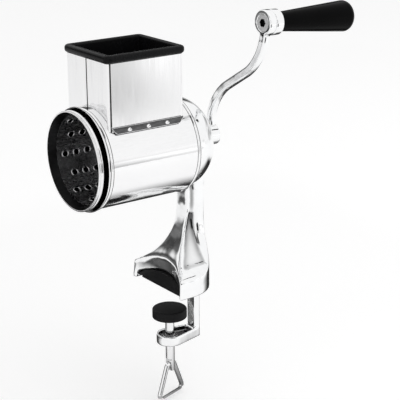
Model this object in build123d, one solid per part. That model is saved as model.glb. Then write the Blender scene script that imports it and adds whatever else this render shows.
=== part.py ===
from build123d import *
import math
import os

os.makedirs("parts", exist_ok=True)

# Frame: millimetres, +Z up. The origin is where the clamp screw's axis meets the table top,
# and the drum turns about a line along X, with the crank at the +X end.

# Fits and gaps
running_fit = 0.05
seat_fit = 0.05
rest_gap = 0.3
passing_gap = 1.0

# Barrel: a rolled tube with a flared front lip and a rear edge turned in against the bell
axis_height = 122.6
bell_face = 5.3
barrel_radius = 39.4
barrel_wall = 0.9
barrel_length = 85.1
lip_length = 2.2
lip_flare = 1.9
bead_height = 0.7
bead_width = 2.2
front_bead_setback = 2.6
rear_bead_setback = 1.0
turn_in_width = 8.0
rivet_radius = 1.5
rivet_head_radius = 2.4
rivet_head_height = 1.2
rivet_depth = 5.0
rivet_count = 4

# Hopper: a folded sheet box whose side strips are spot welded on the barrel
hopper_setback = 3.0
hopper_length = 67.7
hopper_width = 59.5
hopper_height = 77.4
hopper_wall = 0.9
hopper_corner = 3.0
strip_width = 7.0
strip_chamfer = 4.0
weld_count = 3
weld_spacing = 17.0
weld_radius = 3.0
weld_depth = 0.4
seam_width = 0.5
seam_depth = 0.45

# Pusher: a hollow moulded box that drops into the hopper and hangs by its rim
pusher_gap = 0.5
pusher_wall = 2.0
pusher_corner = 1.6
throat_height = 6.3
rim_height = 6.0
rim_overhang = 1.9
rim_corner = 4.5
rim_round = 2.0

# Grating drum: an open perforated cup with a stiff front hem
drum_gap = 1.6
drum_wall = 0.8
hem_radius = 39.0
hem_length = 4.9
hem_wall = 1.7
hem_round = 0.7
hem_gap = 2.4
drum_neck = 1.6
tooth_height = 1.4
tooth_hole_radius = 2.3
tooth_wall = 0.9
tooth_taper = 0.4
tooth_embed = 0.6
tooth_rows = 14
tooth_pitch = 10.0
tooth_front_margin = 14.0
tooth_rear_margin = 5.0
tooth_phase = -6.5
disc_thickness = 1.2
disc_rim = 6.0
hub_radius = 9.0
hub_flange_radius = 17.0
hub_flange = 2.5
hub_length = 13.0
hub_rivet_circle = 13.0

# Shaft, bush and bell
bell_step = 1.2
bell_ring_width = 8.0
bell_ring_depth = 5.0
bell_depth = 27.6
bell_wall = 4.0
bell_shoulder = (18.6, 29.2)
bell_hub_radius = 12.0
bell_hub_end = 31.2
bush_start = 8.6
bush_wall = 2.0
bush_flange_radius = 11.0
bush_flange = 1.5
shaft_radius = 6.0
collar_radius = 9.0
collar_length = 3.0
drive_square = 8.5
stud_radius = 3.0
stud_length = 9.0
nut_radius = 7.0
nut_length = 6.0

# Crank: an S-shaped cast arm from the shaft to the handle
washer_radius = 9.0
washer_thickness = 1.4
crank_hub_radius = 8.5
crank_hub_length = 9.0
crank_square = 9.0
crank_screw_radius = 2.5
crank_screw_depth = 12.0
crank_screw_head_radius = 5.5
crank_screw_head = 2.2
arm_width = 8.0
arm_thickness = 6.0
arm_round = 2.2
arm_bend_radius = 40.0
arm_lower_corner = (1.5, 32.0)
crank_offset = -59.5
arm_upper_corner_height = 69.5
crank_rise = 99.0
crank_lean = 4.8
handle_cant = -2.5
boss_radius = 10.2
boss_length = 6.5
boss_round = 1.2

# Handle: a tapered grip that spins on a sleeve held by a socket-head bolt
bolt_radius = 4.0
bolt_head_radius = 6.5
bolt_head = 3.6
bolt_recess = 0.3
bolt_hex = 6.0
bolt_hex_depth = 2.2
sleeve_wall = 1.2
ferrule_radius = 10.0
ferrule_length = 7.3
ferrule_round = 1.5
spigot_radius = 6.8
spigot_length = 5.0
grip_small_radius = 7.3
grip_large_radius = 12.8
grip_length = 72.0
grip_round = 5.5
handle_nut_radius = 7.0
handle_nut_length = 6.5
nut_pocket_radius = 7.6
cap_length = 3.0

# Stand: one casting of bell, leg, clamp jaw, post and lower arm
leg_front = 13.2
leg_back = 31.4
leg_half_width = 8.0
leg_flare_start = 72.0
leg_spread_start = 58.0
jaw_toe = -13.4
jaw_throat = -3.6
jaw_half_width = 34.0
jaw_corner = 31.0
jaw_lip_height = 17.0
jaw_skirt_gap = 1.0
jaw_wall = 3.0
front_rib = 2.8
rear_rib = 10.0
panel_depth = 2.0
web_half_width = 3.5
web_setback = 3.0
panel_bottom = 62.0
pocket_bottom = 22.0
pocket_top = 98.0
pad_height = 12.5
pad_end = 6.6
pad_front = -6.0
pad_back = 20.4
post_front = 21.5
post_back = 27.5
post_half_width = 5.0
arm_top = -41.5
arm_bottom = -50.0
arm_floor = 3.5
arm_wall = 1.8
arm_end_radius = 11.2
thread_boss_radius = 6.5
thread_boss_drop = 1.5

# Clamp: screw, swivelling pad and folding bail
screw_radius = 3.75
pad_top = -19.0
cap_thickness = 8.0
cap_radius = 14.4
cap_round = 1.0
plate_radius = 11.5
plate_thickness = 3.0
plate_recess = 0.5
tip_radius = 3.0
tip_neck = 2.4
tip_above_plate = 1.6
clip_radius = 4.8
clip_thickness = 0.7
clip_space = 0.8
screw_end = -75.1
tongue_top = -64.1
tongue_thickness = 4.0
eye_height = -69.6
wire_radius = 2.0
eye_gap = 0.3
bail_turn = 17.6
bail_top_half = 4.2
bail_bottom_half = 17.0
bail_drop = 29.0
bail_top_bend = 2.4
bail_bottom_bend = 4.0

BOTTOM = (Align.CENTER, Align.CENTER, Align.MIN)

# Places that follow from the sizes above
barrel_front = bell_face - barrel_length
hopper_front = barrel_front + front_bead_setback + bead_width + hopper_setback
hopper_middle = hopper_front + hopper_length / 2
hopper_top = axis_height + hopper_height
drum_radius = barrel_radius - barrel_wall - drum_gap - tooth_height
drum_inside = drum_radius - drum_wall
drum_front = barrel_front - hem_gap - hem_length
drum_rear = bell_face - barrel_wall - rivet_head_height - passing_gap
disc_front = drum_rear - disc_thickness
bush_front = bell_face + bush_start
collar_rear = bush_front - bush_flange - rest_gap
collar_front = collar_rear - collar_length
hub_front = disc_front - hub_length
stud_end = hub_front - stud_length
bell_rear = bell_face + bell_hub_end
washer_front = bell_rear + rest_gap
crank_front = washer_front + washer_thickness
crank_rear = crank_front + crank_hub_length
crank_middle = (crank_front + crank_rear) / 2
handle_height = axis_height + crank_rise
boss_front = crank_middle - boss_length / 2
boss_rear = crank_middle + boss_length / 2
bolt_seat = boss_front + bolt_recess + bolt_head
sleeve_radius = bolt_radius + sleeve_wall
ferrule_front = boss_rear + rest_gap
ferrule_rear = ferrule_front + ferrule_length
grip_end = ferrule_rear + grip_length
cap_front = grip_end - cap_length
nut_rear = cap_front - rest_gap
nut_front = nut_rear - handle_nut_length
jaw_bend = min(jaw_corner, jaw_half_width - jaw_wall)
plate_bottom = pad_top - cap_thickness + plate_recess
plate_top = plate_bottom + plate_thickness
tip_top = plate_top + tip_above_plate


def bar_x(start, end, radius, y=0, z=axis_height):
    """A round bar along X."""
    return Pos(start, y, z) * Rot(0, 90, 0) * Cylinder(radius, end - start, align=BOTTOM)


def bar_z(start, end, radius, x=0, y=0):
    """A round bar along Z."""
    return Pos(x, y, start) * Cylinder(radius, end - start, align=BOTTOM)


def block(x, y, z):
    """A box between the given pairs of limits."""
    size = Box(x[1] - x[0], y[1] - y[0], z[1] - z[0])
    return Pos((x[0] + x[1]) / 2, (y[0] + y[1]) / 2, (z[0] + z[1]) / 2) * size


def square_bar_x(start, end, side):
    """A square bar along the drum's axis."""
    half = side / 2
    return block((start, end), (-half, half), (axis_height - half, axis_height + half))


def turned(outline):
    """A solid turned about the drum's axis from a closed outline of x and radius."""
    return Pos(0, 0, axis_height) * revolve(make_face(Plane.XZ * outline), Axis.X)


def around_axis(piece, count, start=0):
    """Copies of a piece spaced evenly round the drum's axis."""
    turns = [start + index * 360 / count for index in range(count)]
    return [Pos(0, 0, axis_height) * Rot(turn, 0, 0) * piece for turn in turns]


def leaned(piece):
    """A piece of the crank, leaned outwards about its hub."""
    hub = Pos(crank_middle, 0, axis_height)
    return hub * Rot(0, crank_lean, 0) * hub.inverse() * piece


def canted(piece):
    """A piece on the handle's axis, which is a little off square to the leaned arm."""
    boss = Pos(crank_middle, crank_offset, handle_height)
    return leaned(boss * Rot(0, handle_cant, 0) * boss.inverse() * piece)


def barrel_shell():
    """The barrel with its lip, two beads, turned-in rear edge, hopper opening and rivet holes."""
    front_bead = barrel_front + front_bead_setback
    rear_bead = bell_face - rear_bead_setback - bead_width
    bead_ramp = bead_width / 4
    bead_top = barrel_radius + bead_height
    outside = [(barrel_front, barrel_radius + lip_flare), (barrel_front + lip_length, barrel_radius)]
    for bead in (front_bead, rear_bead):
        outside += [(bead, barrel_radius), (bead + bead_ramp, bead_top)]
        outside += [(bead + bead_width - bead_ramp, bead_top), (bead + bead_width, barrel_radius)]
    turn_in = barrel_radius - turn_in_width
    inside = barrel_radius - barrel_wall
    outside += [(bell_face, barrel_radius), (bell_face, turn_in)]
    outside += [(bell_face - barrel_wall, turn_in), (bell_face - barrel_wall, inside)]
    outside += [(barrel_front + lip_length, inside), (barrel_front, inside + lip_flare)]
    shell = turned(Polyline(*outside, close=True))
    opening = RectangleRounded(*hopper_inside(), hopper_corner - hopper_wall)
    shell -= Pos(hopper_middle, 0, axis_height) * extrude(opening, hopper_height)
    return shell - rivet_shanks()


def rivet_shanks():
    """The rivets' round shanks, through the barrel's turned-in edge and into the bell."""
    shank = bar_x(bell_face - barrel_wall, bell_face + rivet_depth, rivet_radius, 0, rivet_circle())
    return around_axis(shank, rivet_count, 180 / rivet_count)


def rivet_circle():
    return barrel_radius - turn_in_width / 2


def barrel_rivets():
    """The rivets that hold the barrel to the bell, seen from inside the barrel."""
    head_front = bell_face - barrel_wall - rivet_head_height
    head = bar_x(head_front, bell_face - barrel_wall, rivet_head_radius, 0, rivet_circle())
    head = chamfer(head.faces().sort_by(Axis.X)[0].edges(), rivet_head_height / 2)
    heads = around_axis(head, rivet_count, 180 / rivet_count)
    return [whole + shank for whole, shank in zip(heads, rivet_shanks())]


def hopper_inside():
    """The hopper's inside length and width."""
    return hopper_length - 2 * hopper_wall, hopper_width - 2 * hopper_wall


def hopper_chute():
    """The box above the barrel with its welded side strips and its folded seam."""
    base = Pos(hopper_middle, 0, axis_height)
    walls = base * extrude(RectangleRounded(hopper_length, hopper_width, hopper_corner), hopper_height)
    room = RectangleRounded(*hopper_inside(), hopper_corner - hopper_wall)
    walls -= base * extrude(room, hopper_height)
    walls -= bar_x(barrel_front, bell_face, barrel_radius)
    strip = welded_strip()
    walls += [strip, mirror(strip, Plane.XZ)]
    half_seam = seam_width / 2
    seam = block(
        (hopper_front - seam_depth, hopper_front + seam_depth),
        (-half_seam, half_seam),
        (axis_height, hopper_top),
    )
    return walls - seam


def welded_strip():
    """One side strip, bent to the barrel, with chamfered ends and dimples where it is welded."""
    foot_angle = math.degrees(math.asin(hopper_width / 2 / barrel_radius))
    lap = hopper_wall
    middle_angle = foot_angle + math.degrees((strip_width - lap) / 2 / barrel_radius)
    long_half = hopper_length / 2 - hopper_corner
    short_half = long_half - strip_chamfer
    half = strip_width / 2
    corners = [(-long_half, half), (long_half, half), (short_half, -half), (-short_half, -half)]
    outline = Polyline(*corners, close=True)
    tilt = Pos(hopper_middle, 0, axis_height) * Rot(middle_angle, 0, 0)
    slab = tilt * extrude(make_face(outline), 2 * barrel_radius)
    strip_outside = barrel_radius + hopper_wall
    ring = bar_x(barrel_front, bell_face, strip_outside) - bar_x(barrel_front, bell_face, barrel_radius)
    strip = ring & slab
    first = -(weld_count - 1) / 2 * weld_spacing
    for index in range(weld_count):
        dimple = Pos(first + index * weld_spacing, 0, strip_outside + weld_radius - weld_depth)
        strip -= tilt * dimple * Sphere(weld_radius)
    return strip


def hopper_pusher():
    """The hollow pusher: four walls, a floor over the drum and a round rim over the hopper's edge."""
    room_length, room_width = hopper_inside()
    length = room_length - 2 * pusher_gap
    width = room_width - 2 * pusher_gap
    floor = axis_height + drum_radius + tooth_height + throat_height
    rim_bottom = hopper_top + rest_gap
    rim_top = rim_bottom + rim_height
    body = RectangleRounded(length, width, pusher_corner)
    box = Pos(hopper_middle, 0, floor) * extrude(body, rim_top - floor)
    rim_length = hopper_length + 2 * rim_overhang
    rim_width = hopper_width + 2 * rim_overhang
    rim = extrude(RectangleRounded(rim_length, rim_width, rim_corner), rim_height)
    rim = fillet(rim.faces().sort_by(Axis.Z)[-1].edges() + rim.faces().sort_by(Axis.Z)[0].edges(), rim_round)
    box += Pos(hopper_middle, 0, rim_bottom) * rim
    hollow = Rectangle(length - 2 * pusher_wall, width - 2 * pusher_wall)
    return box - Pos(hopper_middle, 0, floor + pusher_wall) * extrude(hollow, rim_top - floor)


def drum_shell():
    """The drum's wall: a stiff hem with a flared mouth, a neck and a cylinder of outward-punched holes."""
    hem_rear = drum_front + hem_length
    neck_rear = hem_rear + drum_neck
    outline = [
        (drum_front + hem_round, hem_radius),
        (hem_rear, hem_radius),
        (neck_rear, drum_radius),
        (drum_rear, drum_radius),
        (drum_rear, drum_inside),
        (neck_rear, drum_inside),
        (drum_front + hem_round, hem_radius - hem_wall),
        (drum_front, hem_radius - hem_wall + hem_round),
        (drum_front, hem_radius - hem_round),
    ]
    shell = turned(Polyline(*outline, close=True))
    foot = tooth_hole_radius + tooth_wall + tooth_taper
    edge = tooth_hole_radius + tooth_wall
    tooth = Pos(0, 0, drum_radius - tooth_embed) * Cone(foot, edge, tooth_height + tooth_embed, align=BOTTOM)
    hole = Pos(0, 0, drum_inside / 2) * Cylinder(tooth_hole_radius, drum_radius, align=BOTTOM)
    places = tooth_places()
    shell += [place * tooth for place in places]
    return shell - [place * hole for place in places]


def tooth_places():
    """Where the holes are: staggered rows along the drum, spaced evenly round it."""
    first = drum_front + tooth_front_margin
    last = drum_rear - tooth_rear_margin
    places = []
    for row in range(tooth_rows):
        start = first + tooth_pitch / 2 * (row % 2)
        columns = int((last - start) / tooth_pitch) + 1
        turn = tooth_phase + row * 360 / tooth_rows - 90
        for column in range(columns):
            places.append(Pos(start + column * tooth_pitch, 0, axis_height) * Rot(turn, 0, 0))
    return places


def drum_end_disc():
    """The pressed cup that closes the drum's rear."""
    cup = bar_x(disc_front - disc_rim, drum_rear, drum_inside)
    cup -= bar_x(disc_front - disc_rim, disc_front, drum_inside - disc_thickness)
    cup -= bar_x(disc_front, drum_rear, hub_radius)
    return cup - hub_rivet_shanks()


def hub_rivet_shanks():
    """The four short rivets through the hub's flange and the end disc."""
    shank = bar_x(disc_front - hub_flange, drum_rear, rivet_radius, 0, hub_rivet_circle)
    return around_axis(shank, rivet_count)


def drum_hub():
    """The drum's hub, with the square hole that the shaft drives."""
    hub = bar_x(hub_front, collar_front, hub_radius)
    hub += bar_x(disc_front - hub_flange, disc_front, hub_flange_radius)
    hub -= square_bar_x(hub_front, collar_front, drive_square + 2 * seat_fit)
    return hub - hub_rivet_shanks()


def hub_rivets():
    """Rivets with a head on each side of the hub's flange and the disc."""
    seat = disc_front - hub_flange
    front = bar_x(seat - rivet_head_height, seat, rivet_head_radius, 0, hub_rivet_circle)
    rear = bar_x(drum_rear, drum_rear + rivet_head_height, rivet_head_radius, 0, hub_rivet_circle)
    heads = zip(around_axis(front, rivet_count), around_axis(rear, rivet_count), hub_rivet_shanks())
    return [one + two + shank for one, two, shank in heads]


def drum_nut():
    """The domed nut that holds the drum on the shaft's stud."""
    blank = Plane.YZ * extrude(RegularPolygon(nut_radius, 6), nut_length)
    seat = hub_front - nut_length
    dome_radius = nut_radius * math.cos(math.pi / 6)
    nut = Pos(seat, 0, axis_height) * blank
    nut += Pos(seat, 0, axis_height) * Sphere(dome_radius) & bar_x(seat - dome_radius, seat, dome_radius)
    return nut - bar_x(stud_end, hub_front, stud_radius + seat_fit)


def crank_shaft():
    """The shaft: stud, drive square, collar, journal, crank square and the crank screw's hole."""
    shaft = bar_x(stud_end, hub_front, stud_radius)
    shaft += square_bar_x(hub_front, collar_front, drive_square)
    shaft += bar_x(collar_front, collar_rear, collar_radius)
    shaft += bar_x(collar_rear, crank_front, shaft_radius)
    shaft += square_bar_x(crank_front, crank_rear, crank_square)
    return shaft - bar_x(crank_rear - crank_screw_depth, crank_rear, crank_screw_radius + seat_fit)


def shaft_bush():
    """The flanged bush in the bell's hub that the shaft turns in."""
    bush = bar_x(bush_front, bell_rear, shaft_radius + running_fit + bush_wall)
    bush += bar_x(bush_front - bush_flange, bush_front, bush_flange_radius)
    return bush - bar_x(bush_front - bush_flange, bell_rear, shaft_radius + running_fit)


def thrust_washer():
    """The washer between the bell's hub and the crank."""
    washer = bar_x(washer_front, crank_front, washer_radius)
    return washer - bar_x(washer_front, crank_front, shaft_radius + seat_fit)


def crank_path():
    """The arm's centre line, in the crank's plane: up from the shaft, across, and up to the handle."""
    corners = [(0, 0), arm_lower_corner, (crank_offset, arm_upper_corner_height), (crank_offset, crank_rise)]
    line = FilletPolyline(*corners, radius=arm_bend_radius)
    return Pos(crank_middle, 0, axis_height) * (Plane.YZ * line)


def crank_arm():
    """The cast arm with its hub, its square hole and the handle's boss."""
    path = crank_path()
    section = Plane(origin=path @ 0, x_dir=(1, 0, 0), z_dir=path % 0)
    arm = leaned(sweep(section * RectangleRounded(arm_thickness, arm_width, arm_round), path))
    boss = bar_x(boss_front, boss_rear, boss_radius, crank_offset, handle_height)
    arm += canted(fillet(boss.edges().filter_by(GeomType.CIRCLE), boss_round))
    head_room = boss_front - boss_round
    arm -= canted(bar_x(head_room, bolt_seat, bolt_head_radius + 2 * seat_fit, crank_offset, handle_height))
    arm -= canted(bar_x(boss_front, boss_rear, bolt_radius + seat_fit, crank_offset, handle_height))
    arm += bar_x(crank_front, crank_rear, crank_hub_radius)
    return arm - square_bar_x(crank_front, crank_rear, crank_square + 2 * seat_fit)


def crank_screw():
    """The pan-head screw that holds the crank on the shaft."""
    head = bar_x(crank_rear, crank_rear + crank_screw_head, crank_screw_head_radius)
    head = fillet(head.faces().sort_by(Axis.X)[-1].edges(), crank_screw_head / 2)
    return head + bar_x(crank_rear - crank_screw_depth, crank_rear, crank_screw_radius)


def handle_bolt():
    """The socket-head bolt from the crank's boss to the nut in the grip's end."""
    head_front = bolt_seat - bolt_head
    bolt = bar_x(head_front, bolt_seat, bolt_head_radius, crank_offset, handle_height)
    bolt += bar_x(bolt_seat, nut_rear, bolt_radius, crank_offset, handle_height)
    hex_socket = Plane.YZ * extrude(RegularPolygon(bolt_hex / 2, 6, major_radius=False), bolt_hex_depth)
    return canted(bolt - Pos(head_front, crank_offset, handle_height) * hex_socket)


def handle_sleeve():
    """The steel sleeve on the bolt, between the boss and the nut, that the grip spins on."""
    sleeve = bar_x(boss_rear, nut_front, sleeve_radius, crank_offset, handle_height)
    return canted(sleeve - bar_x(boss_rear, nut_front, bolt_radius + seat_fit, crank_offset, handle_height))


def handle_nut():
    """The lock nut in the pocket of the grip's wide end."""
    nut = Plane.YZ * extrude(RegularPolygon(handle_nut_radius, 6), handle_nut_length)
    nut = Pos(nut_front, crank_offset, handle_height) * nut
    return canted(nut - bar_x(nut_front, nut_rear, bolt_radius + seat_fit, crank_offset, handle_height))


def handle_ferrule():
    """The bright collar on the grip's narrow end."""
    ferrule = bar_x(ferrule_front, ferrule_rear, ferrule_radius, crank_offset, handle_height)
    ferrule = fillet(ferrule.edges().filter_by(GeomType.CIRCLE), ferrule_round)
    spigot_front = ferrule_rear - spigot_length
    ferrule -= bar_x(spigot_front, ferrule_rear, spigot_radius + seat_fit, crank_offset, handle_height)
    return canted(ferrule - grip_bore(ferrule_front, ferrule_rear))


def grip_bore(start, end):
    """The running bore on the sleeve."""
    return bar_x(start, end, sleeve_radius + running_fit, crank_offset, handle_height)


def handle_grip():
    """The tapered grip with its spigot, its bore and the nut's pocket."""
    cone = Cone(grip_small_radius, grip_large_radius, grip_length, align=BOTTOM)
    cone = fillet(cone.faces().sort_by(Axis.Z)[-1].edges(), grip_round)
    grip = Pos(ferrule_rear, crank_offset, handle_height) * Rot(0, 90, 0) * cone
    grip += bar_x(ferrule_rear - spigot_length, ferrule_rear, spigot_radius, crank_offset, handle_height)
    grip -= grip_bore(ferrule_rear - spigot_length, nut_front - rest_gap)
    pocket_front = nut_front - rest_gap
    return canted(grip - bar_x(pocket_front, grip_end, nut_pocket_radius, crank_offset, handle_height))


def grip_end_cap():
    """The plug that closes the nut's pocket, flush with the grip's end."""
    plug_radius = nut_pocket_radius - seat_fit
    plug = bar_x(cap_front, grip_end, plug_radius, crank_offset, handle_height)
    return canted(fillet(plug.faces().sort_by(Axis.X)[-1].edges(), cap_length / 4))


def leg_side():
    """The leg and jaw seen from the side: a straight back and a front that flares to the toes."""
    toe = (jaw_toe, jaw_lip_height)
    flare = TangentArc((leg_front, leg_flare_start), toe, tangent=(0, -1))
    rest = Polyline(
        toe,
        (jaw_toe, jaw_skirt_gap),
        (leg_back, jaw_skirt_gap),
        (leg_back, axis_height),
        (leg_front, axis_height),
        (leg_front, leg_flare_start),
    )
    return flare + rest


def leg_face():
    """The leg and jaw seen from the table: a narrow leg that spreads to the jaw's width."""
    half = jaw_half_width
    right = TangentArc((leg_half_width, leg_spread_start), (half, jaw_lip_height), tangent=(0, -1))
    left = TangentArc((-leg_half_width, leg_spread_start), (-half, jaw_lip_height), tangent=(0, -1))
    skirt = Polyline((half, jaw_lip_height), (half, 0), (-half, 0), (-half, jaw_lip_height))
    top = Polyline(
        (leg_half_width, leg_spread_start),
        (leg_half_width, axis_height),
        (-leg_half_width, axis_height),
        (-leg_half_width, leg_spread_start),
    )
    return right + skirt + left + top


def jaw_plan():
    """The jaw from above: two toes, a hollow front between them and a rounded back."""
    half = jaw_half_width
    bend = leg_back - jaw_bend
    back = half - jaw_bend
    front = ThreePointArc((jaw_toe, -half), (jaw_throat, 0), (jaw_toe, half))
    near = Line((jaw_toe, half), (bend, half)) + TangentArc((bend, half), (leg_back, back), tangent=(1, 0))
    far = Line((jaw_toe, -half), (bend, -half)) + TangentArc((bend, -half), (leg_back, -back), tangent=(1, 0))
    return make_face(front + near + Line((leg_back, back), (leg_back, -back)) + far)


def pad_plan(front, slack=0):
    """The jaw pad from above: inside the jaw's walls, from a straight front between the toes."""
    inner = offset(jaw_plan(), amount=-jaw_wall - slack)
    half = jaw_half_width - jaw_wall - slack
    straight = leg_back - jaw_bend - front
    whole = pad_back - slack - front
    side = (Align.MIN, Align.CENTER)
    inner += Pos(front, 0) * Rectangle(straight, 2 * half, align=side)
    return inner & Pos(front, 0) * Rectangle(whole, 2 * half, align=side)


def pad_room(plan, slack=0):
    """The pad's room under the jaw: highest in the middle and arched down to the toes."""
    half = jaw_half_width - jaw_wall - slack
    end = pad_end - slack
    arch = ThreePointArc((-half, end), (0, pad_height - slack), (half, end))
    arch += Polyline((half, end), (half, 0), (-half, 0), (-half, end))
    tunnel = extrude(make_face(Plane.YZ * arch), 2 * jaw_half_width, both=True)
    return extrude(plan, pad_height) & tunnel


def web_face():
    """The leg's web seen from the table: it spreads into the jaw inside the leg's own faces."""
    half = jaw_half_width - web_setback
    right = TangentArc((web_half_width, panel_bottom), (half, jaw_lip_height), tangent=(0, -1))
    left = TangentArc((-web_half_width, panel_bottom), (-half, jaw_lip_height), tangent=(0, -1))
    foot = Polyline((half, jaw_lip_height), (half, 0), (-half, 0), (-half, jaw_lip_height))
    return right + foot + left + Line((web_half_width, panel_bottom), (-web_half_width, panel_bottom))


def leg_pockets():
    """The hollows in the leg's sides, in a raised border: a shallow panel above and a deep web below."""
    border = offset(make_face(leg_side()), amount=-front_rib)
    border &= Pos(front_rib - rear_rib, 0) * border
    reach = 2 * jaw_half_width
    panel_half = leg_half_width - panel_depth
    panel = block((-reach, reach), (-panel_half, panel_half), (panel_bottom, pocket_top))
    web = extrude(make_face(Plane.YZ * web_face()), reach, both=True)
    pockets = []
    for core, low, high in ((panel, panel_bottom, pocket_top), (web, pocket_bottom, panel_bottom)):
        window = Pos(0, low) * Rectangle(reach, high - low, align=(Align.CENTER, Align.MIN))
        pockets.append(extrude(Plane.XZ * (border & window), reach, both=True) - core)
    return pockets


def bell():
    """The bell that closes the barrel's rear, with the ring for the rivets and the bush's hub."""
    radius = barrel_radius - bell_step
    rear = bell_face + bell_depth
    shoulder = (bell_face + bell_shoulder[0], bell_shoulder[1])
    curve = ThreePointArc((bell_face, radius), shoulder, (rear, bell_hub_radius))
    edges = Polyline((rear, bell_hub_radius), (rear, 0), (bell_face, 0), (bell_face, radius))
    hub = bar_x(bush_front, bell_rear, bell_hub_radius)
    return turned(curve + edges) + hub


def bell_hollow():
    """The room inside the bell, round the bush's hub."""
    ring = barrel_radius - bell_step - bell_ring_width
    ring_rear = bell_face + bell_ring_depth
    rear = bell_face + bell_depth - bell_wall
    shoulder = (bell_face + bell_shoulder[0] - bell_wall, bell_shoulder[1] - bell_wall)
    outline = [(bell_face, 0), (bell_face, ring), (ring_rear, ring), shoulder, (rear, bell_hub_radius), (rear, 0)]
    hollow = turned(Polyline(*outline, close=True))
    hub_end = bell_face + bell_depth
    return hollow - bar_x(bush_front, hub_end, bell_hub_radius)


def lower_arm():
    """The clamp's lower arm: a tray from the post to a round end, with the screw's threaded boss."""
    post_plan = Pos((post_front + post_back) / 2, 0) * Rectangle(post_back - post_front, 2 * post_half_width)
    plan = make_hull(Circle(arm_end_radius).edges() + post_plan.edges())
    tray = Pos(0, 0, arm_bottom) * extrude(plan, arm_top - arm_bottom)
    reach = 2 * post_front
    room = offset(plan, amount=-arm_wall) & Pos(post_front - arm_wall - reach / 2, 0) * Rectangle(reach, reach)
    tray -= Pos(0, 0, arm_bottom + arm_floor) * extrude(room, arm_top - arm_bottom)
    tray += bar_z(arm_bottom, arm_top - thread_boss_drop, thread_boss_radius)
    return tray - bar_z(arm_bottom, arm_top, screw_radius + running_fit)


def stand_casting():
    """The stand: leg and jaw, side hollows, the pad's seat, the post, the lower arm and the bell."""
    reach = 2 * jaw_half_width
    body = extrude(make_face(Plane.XZ * leg_side()), reach, both=True)
    body &= extrude(make_face(Plane.YZ * leg_face()), reach, both=True)
    body &= extrude(jaw_plan(), axis_height)
    body -= leg_pockets()
    body -= pad_room(pad_plan(jaw_toe))
    limits = (-post_half_width, post_half_width)
    body += block((post_front, post_back), limits, (arm_bottom, pocket_bottom))
    body += lower_arm()
    body += bell()
    body -= bell_hollow()
    body -= bar_x(bush_front, bell_rear, shaft_radius + running_fit + bush_wall)
    return body - rivet_shanks()


def jaw_pad():
    """The rubber pad under the jaw, which bears on the table top."""
    return pad_room(pad_plan(pad_front, seat_fit), seat_fit)


def clamp_pad_cap():
    """The rubber cap over the clamp's plate."""
    bottom = pad_top - cap_thickness
    cap = bar_z(bottom, pad_top, cap_radius)
    cap = fillet(cap.edges().filter_by(GeomType.CIRCLE), cap_round)
    cap -= bar_z(bottom, plate_top, plate_radius)
    return cap - bar_z(plate_top, tip_top + rest_gap, clip_radius + clip_space)


def clamp_pad_plate():
    """The steel plate in the cap that swivels on the screw's tip."""
    return bar_z(plate_bottom, plate_top, plate_radius) - bar_z(plate_bottom, plate_top, tip_radius + running_fit)


def clip_groove():
    """Lower and upper limits of the clip on the screw's tip."""
    low = plate_top + running_fit
    return low, low + clip_thickness


def bail_frame():
    """The bail's plane at the screw's eye: local X along the eye, local Y up."""
    turn = math.radians(bail_turn)
    along = (math.cos(turn), math.sin(turn), 0)
    across = (math.sin(turn), -math.cos(turn), 0)
    return Plane(origin=(0, 0, eye_height), x_dir=along, z_dir=across)


def clamp_screw():
    """The clamp's screw, with a grooved tip above and a flattened tongue with an eye below."""
    screw = bar_z(screw_end, plate_bottom - running_fit, screw_radius)
    screw += bar_z(plate_bottom - running_fit, tip_top, tip_radius)
    low, high = clip_groove()
    screw -= bar_z(low, high, tip_radius) - bar_z(low, high, tip_neck)
    length = tongue_top - screw_end
    width = 4 * screw_radius
    cheek = Box(width, width, length, align=(Align.MIN, Align.CENTER, Align.MIN))
    for side in (0, 180):
        place = Pos(0, 0, screw_end) * Rot(0, 0, bail_turn + side) * Pos(tongue_thickness / 2, 0, 0)
        screw -= place * cheek
    eye = Rot(0, 90, 0) * Cylinder(wire_radius + eye_gap, width)
    return screw - Pos(0, 0, eye_height) * Rot(0, 0, bail_turn) * eye


def swivel_clip():
    """The clip in the tip's groove that keeps the plate on the screw."""
    low, high = clip_groove()
    return bar_z(low, high, clip_radius) - bar_z(low, high, tip_neck)


def clamp_bail():
    """The bent wire bail that turns the screw."""
    corners = [
        (bail_bottom_half, -bail_drop),
        (bail_top_half, 0),
        (-bail_top_half, 0),
        (-bail_bottom_half, -bail_drop),
    ]
    bends = [bail_bottom_bend, bail_top_bend, bail_top_bend, bail_bottom_bend]
    path = bail_frame() * FilletPolyline(*corners, radius=bends, close=True)
    section = Plane(origin=path @ 0, z_dir=path % 0) * Circle(wire_radius)
    return sweep(section, path)


pieces = [
    stand_casting,
    barrel_shell,
    barrel_rivets,
    hopper_chute,
    shaft_bush,
    jaw_pad,
    hopper_pusher,
    drum_shell,
    drum_end_disc,
    drum_hub,
    hub_rivets,
    drum_nut,
    crank_shaft,
    thrust_washer,
    crank_arm,
    crank_screw,
    handle_bolt,
    handle_sleeve,
    handle_nut,
    handle_ferrule,
    handle_grip,
    grip_end_cap,
    clamp_pad_cap,
    clamp_pad_plate,
    clamp_screw,
    swivel_clip,
    clamp_bail,
]

for piece in pieces:
    solid = piece()
    if isinstance(solid, list):
        solid = Compound(children=solid)
    export_step(solid, f"parts/{piece.__name__}.step")
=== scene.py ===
import bpy
import math
from mathutils import Matrix, Vector


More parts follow.
